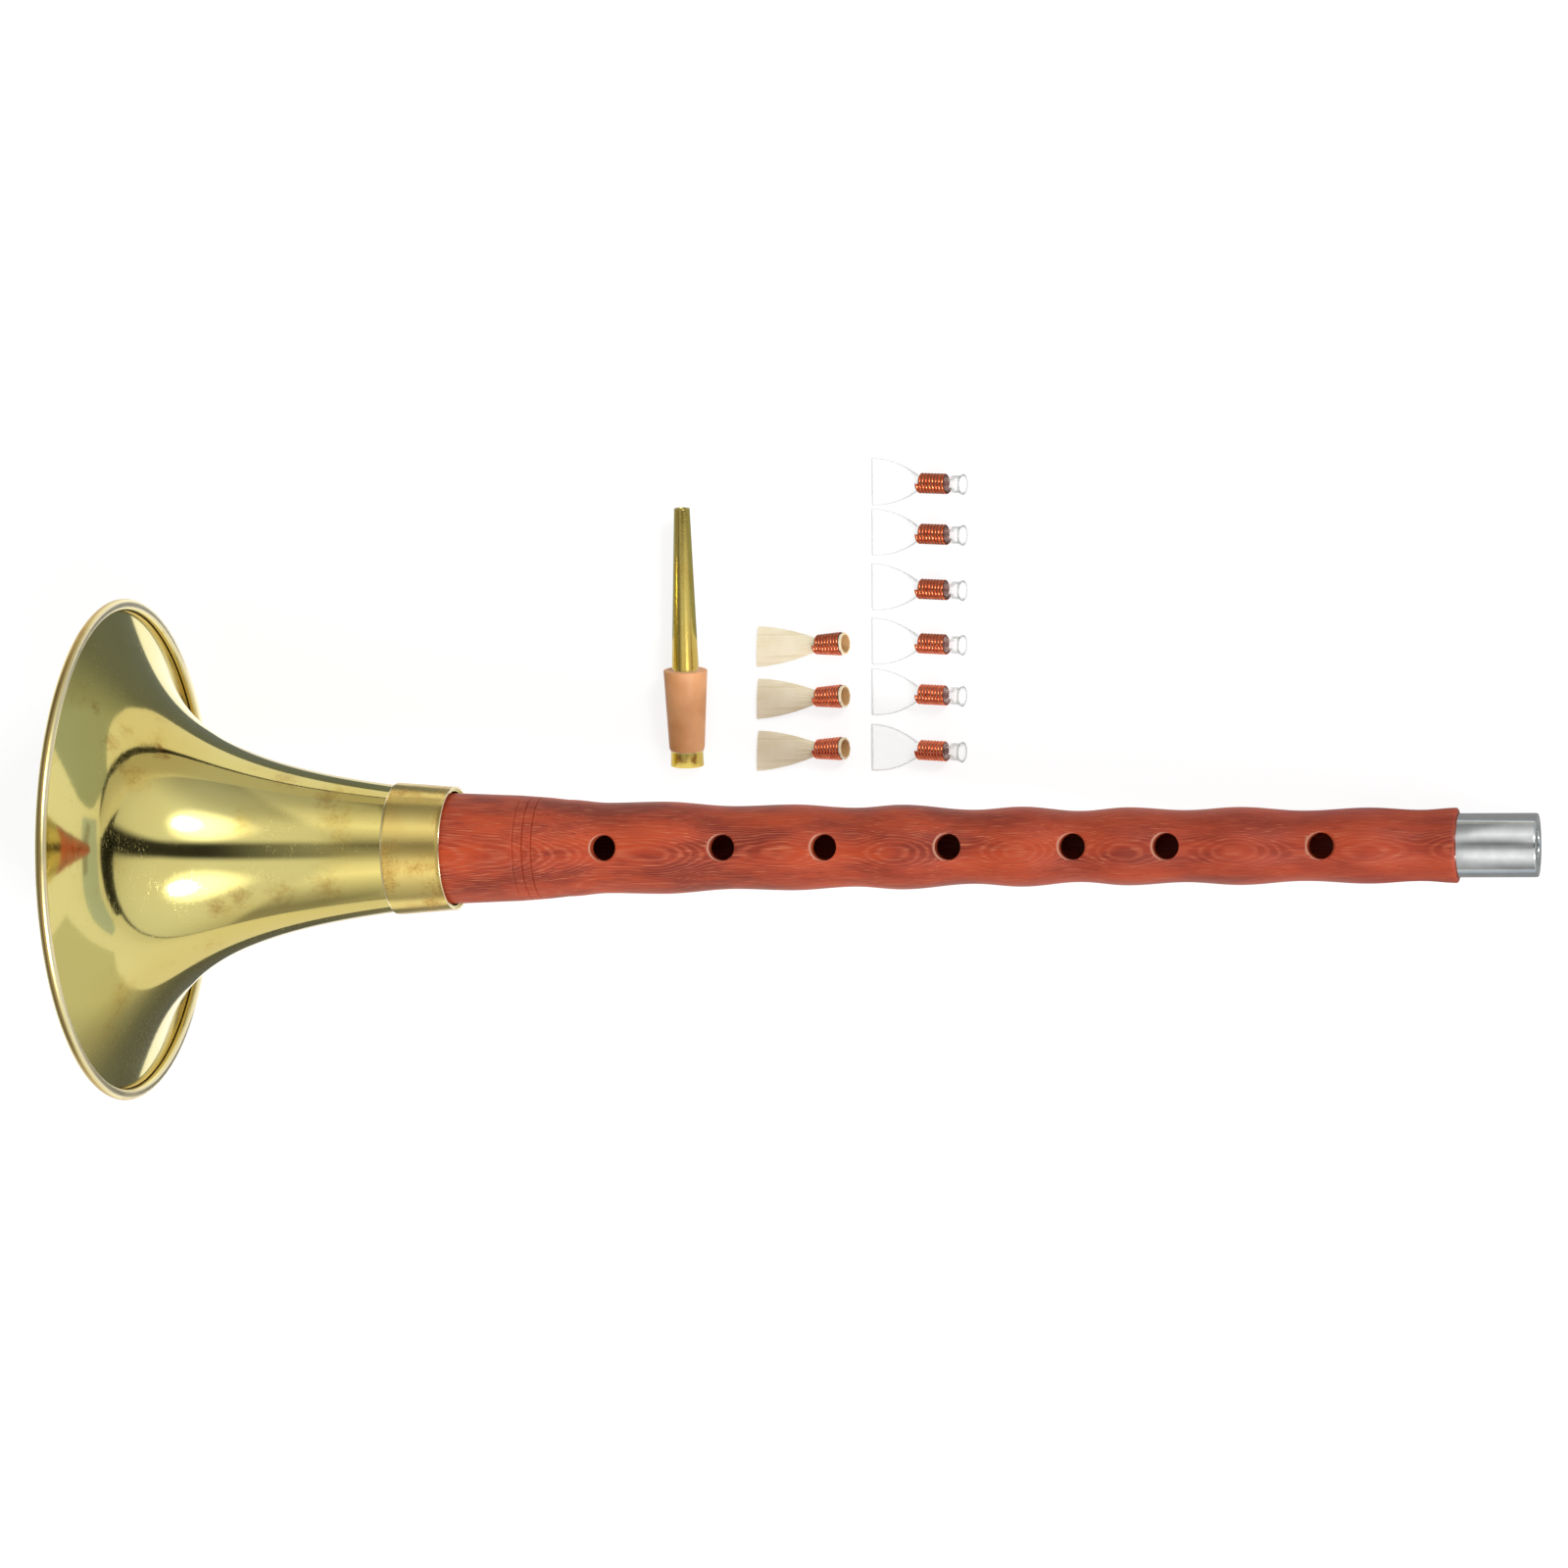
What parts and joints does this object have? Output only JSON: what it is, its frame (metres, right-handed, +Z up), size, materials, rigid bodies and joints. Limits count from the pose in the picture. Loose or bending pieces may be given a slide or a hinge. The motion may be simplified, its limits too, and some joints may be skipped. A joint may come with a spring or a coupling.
{
  "type": "suona",
  "caption": "Double-reed horn with a flared brass bell on a waisted wooden pipe with finger holes, laid flat with its brass staff and spare reeds.",
  "frame": {"origin": "middle of the underside of the whole set's bounding box, on the floor that it lies on", "axes": "+X along the instrument from its bell to its ferrule, +Y towards the staff and the reeds, +Z up"},
  "size_m": [0.378, 0.1632, 0.1306],
  "materials": {
    "bell_brass": "spun, lightly tarnished",
    "rim_wire_steel": "drawn",
    "collar_brass": "satin, tarnished",
    "rosewood": "oiled",
    "lapping_thread": "waxed cotton thread",
    "ferrule_steel": "turned, bright",
    "staff_brass": "drawn, grained",
    "sleeve_rubber": "matt",
    "cane": "scraped reed cane",
    "copper_wire": "bright copper",
    "clear_plastic": "clear"
  },
  "bodies": {
    "pipe": {"wooden_pipe": "rosewood", "steel_ferrule": "ferrule_steel"},
    "lapping": {"foot_lapping": "lapping_thread"},
    "bell": {"bell_horn": "bell_brass", "bell_rim_wire": "rim_wire_steel", "bell_collar": "collar_brass"},
    "staff": {"staff_tube": "staff_brass", "staff_sleeve": "sleeve_rubber"},
    "cane_reed_1": {"cane_reed_1_blade": "cane", "cane_reed_1_winding": "copper_wire"},
    "cane_reed_2": {"cane_reed_2_blade": "cane", "cane_reed_2_winding": "copper_wire"},
    "cane_reed_3": {"cane_reed_3_blade": "cane", "cane_reed_3_winding": "copper_wire"},
    "plastic_reed_1": {"plastic_reed_1_blade": "clear_plastic", "plastic_reed_1_staple": "clear_plastic", "plastic_reed_1_winding": "copper_wire"},
    "plastic_reed_2": {"plastic_reed_2_blade": "clear_plastic", "plastic_reed_2_staple": "clear_plastic", "plastic_reed_2_winding": "copper_wire"},
    "plastic_reed_3": {"plastic_reed_3_blade": "clear_plastic", "plastic_reed_3_staple": "clear_plastic", "plastic_reed_3_winding": "copper_wire"},
    "plastic_reed_4": {"plastic_reed_4_blade": "clear_plastic", "plastic_reed_4_staple": "clear_plastic", "plastic_reed_4_winding": "copper_wire"},
    "plastic_reed_5": {"plastic_reed_5_blade": "clear_plastic", "plastic_reed_5_staple": "clear_plastic", "plastic_reed_5_winding": "copper_wire"},
    "plastic_reed_6": {"plastic_reed_6_blade": "clear_plastic", "plastic_reed_6_staple": "clear_plastic", "plastic_reed_6_winding": "copper_wire"}
  },
  "joints": [
    {"name": "bell_turn", "type": "hinge", "parent": "pipe", "child": "lapping", "pos_m": [-0.10244, -0.01552, 0.05349], "axis": [0.9879, 0, -0.1553], "continuous": true},
    {"name": "bell_pull", "type": "slide", "parent": "lapping", "child": "bell", "axis": [-0.9879, 0, 0.1553], "range_m": [0, 0.04]},
    {"name": "staff_lift", "type": "slide", "parent": "pipe", "child": "staff", "axis": [0, 0, 1], "range_m": [0, 0.03]},
    {"name": "cane_reed_1_lift", "type": "slide", "parent": "pipe", "child": "cane_reed_1", "axis": [0, 0, 1], "range_m": [0, 0.02]},
    {"name": "cane_reed_2_lift", "type": "slide", "parent": "pipe", "child": "cane_reed_2", "axis": [0, 0, 1], "range_m": [0, 0.02]},
    {"name": "cane_reed_3_lift", "type": "slide", "parent": "pipe", "child": "cane_reed_3", "axis": [0, 0, 1], "range_m": [0, 0.02]},
    {"name": "plastic_reed_1_lift", "type": "slide", "parent": "pipe", "child": "plastic_reed_1", "axis": [0, 0, 1], "range_m": [0, 0.02]},
    {"name": "plastic_reed_2_lift", "type": "slide", "parent": "pipe", "child": "plastic_reed_2", "axis": [0, 0, 1], "range_m": [0, 0.02]},
    {"name": "plastic_reed_3_lift", "type": "slide", "parent": "pipe", "child": "plastic_reed_3", "axis": [0, 0, 1], "range_m": [0, 0.02]},
    {"name": "plastic_reed_4_lift", "type": "slide", "parent": "pipe", "child": "plastic_reed_4", "axis": [0, 0, 1], "range_m": [0, 0.02]},
    {"name": "plastic_reed_5_lift", "type": "slide", "parent": "pipe", "child": "plastic_reed_5", "axis": [0, 0, 1], "range_m": [0, 0.02]},
    {"name": "plastic_reed_6_lift", "type": "slide", "parent": "pipe", "child": "plastic_reed_6", "axis": [0, 0, 1], "range_m": [0, 0.02]}
  ]
}
